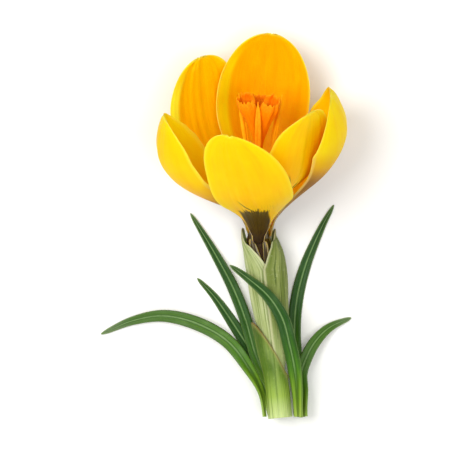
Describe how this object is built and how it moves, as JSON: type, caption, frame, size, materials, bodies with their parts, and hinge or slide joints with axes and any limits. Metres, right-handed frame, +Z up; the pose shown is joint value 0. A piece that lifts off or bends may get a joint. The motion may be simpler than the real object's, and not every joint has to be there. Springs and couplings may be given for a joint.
{
  "type": "crocus flower",
  "caption": "Open yellow crocus, picked and lying down: cupped tepals round stamens and an orange stigma, on a sheathed tube with narrow leaves.",
  "frame": {"origin": "on the surface that the flower lies on, under the middle of its bounding box", "axes": "+Z up from the surface, +Y from the cut foot towards the bloom, +X to the right when seen from above with the bloom away from the viewer"},
  "size_m": [0.051, 0.0784, 0.0417],
  "materials": {
    "tepal_outer": "satin petal, brown at the claw",
    "tepal_inner": "satin petal",
    "stigma": "matt",
    "stamen": "matt with pollen",
    "tube": "satin",
    "spathe": "papery",
    "sheath": "satin",
    "leaf": "satin with a pale midrib"
  },
  "bodies": {
    "root": {"tepal_outer_front": "tepal_outer", "tepal_outer_right": "tepal_outer", "tepal_outer_left": "tepal_outer", "tepal_inner_right": "tepal_inner", "tepal_inner_left": "tepal_inner", "tepal_inner_back": "tepal_inner", "stamen_front": "stamen", "stamen_right": "stamen", "stamen_left": "stamen", "pistil": "stigma", "perianth_tube": "tube", "spathe_left": "spathe", "spathe_right": "spathe", "sheathing_leaf": "sheath", "leaf_left_low": "leaf", "leaf_crossing": "leaf", "leaf_right_low": "leaf", "leaf_right_high": "leaf", "leaf_left_high": "leaf", "leaf_left_middle": "leaf"}
  },
  "joints": []
}
